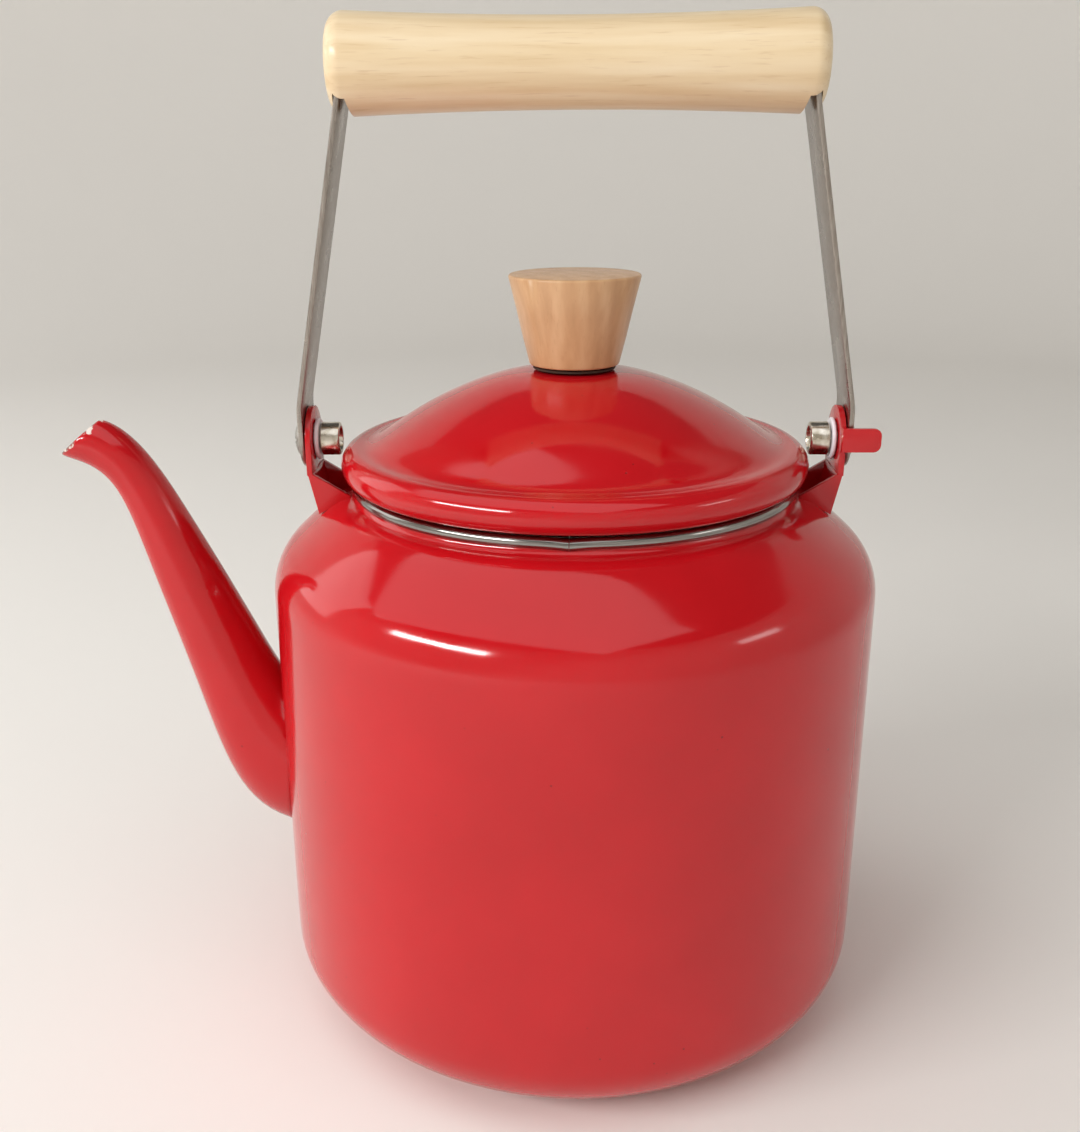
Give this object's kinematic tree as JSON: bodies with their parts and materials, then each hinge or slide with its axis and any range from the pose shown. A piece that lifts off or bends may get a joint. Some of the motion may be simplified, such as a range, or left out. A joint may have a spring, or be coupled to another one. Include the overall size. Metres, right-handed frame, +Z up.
{
  "type": "stovetop kettle",
  "caption": "Enamelled stovetop kettle with a curved spout, a lift-off domed lid with a wooden knob, and a swinging metal bail with a wooden grip.",
  "frame": {"origin": "centre of the flat base, on the surface the kettle stands on", "axes": "+Z up, the spout points to -X, and the bail turns about an axis along X"},
  "size_m": [0.2169, 0.1616, 0.2606],
  "materials": {
    "red_enamel": "glossy vitreous enamel on steel sheet",
    "stainless_steel": "satin",
    "strip_steel": "bright, lightly brushed",
    "nickel_plate": "polished nickel",
    "beech": "clear satin lacquer",
    "nylon": "smooth moulded",
    "fibre_washer": "matte"
  },
  "bodies": {
    "body": {"body_pot": "red_enamel", "shoulder": "red_enamel", "mouth_ring": "stainless_steel", "spout": "red_enamel", "lug_left": "red_enamel", "lug_right": "red_enamel", "pivot_screw_left": "strip_steel", "pivot_screw_right": "strip_steel", "barrel_nut_left": "nickel_plate", "barrel_nut_right": "nickel_plate", "pivot_washer_left": "nylon", "pivot_washer_right": "nylon"},
    "lid": {"lid_shell": "red_enamel", "lid_collar": "stainless_steel", "knob": "beech", "knob_washer": "fibre_washer", "knob_screw_washer": "stainless_steel", "knob_screw": "stainless_steel"},
    "bail": {"bail_strap_left": "strip_steel", "bail_strap_right": "strip_steel", "grip": "beech", "grip_screw_left": "stainless_steel", "grip_screw_right": "stainless_steel"}
  },
  "joints": [
    {"name": "lid_lift", "type": "slide", "parent": "body", "child": "lid", "axis": [0, 0, 1], "range_m": [0, 0.034]},
    {"name": "bail_swing", "type": "hinge", "parent": "body", "child": "bail", "pos_m": [0, 0, 0.1593], "axis": [-1, 0, 0], "range_deg": [0, 106]}
  ]
}
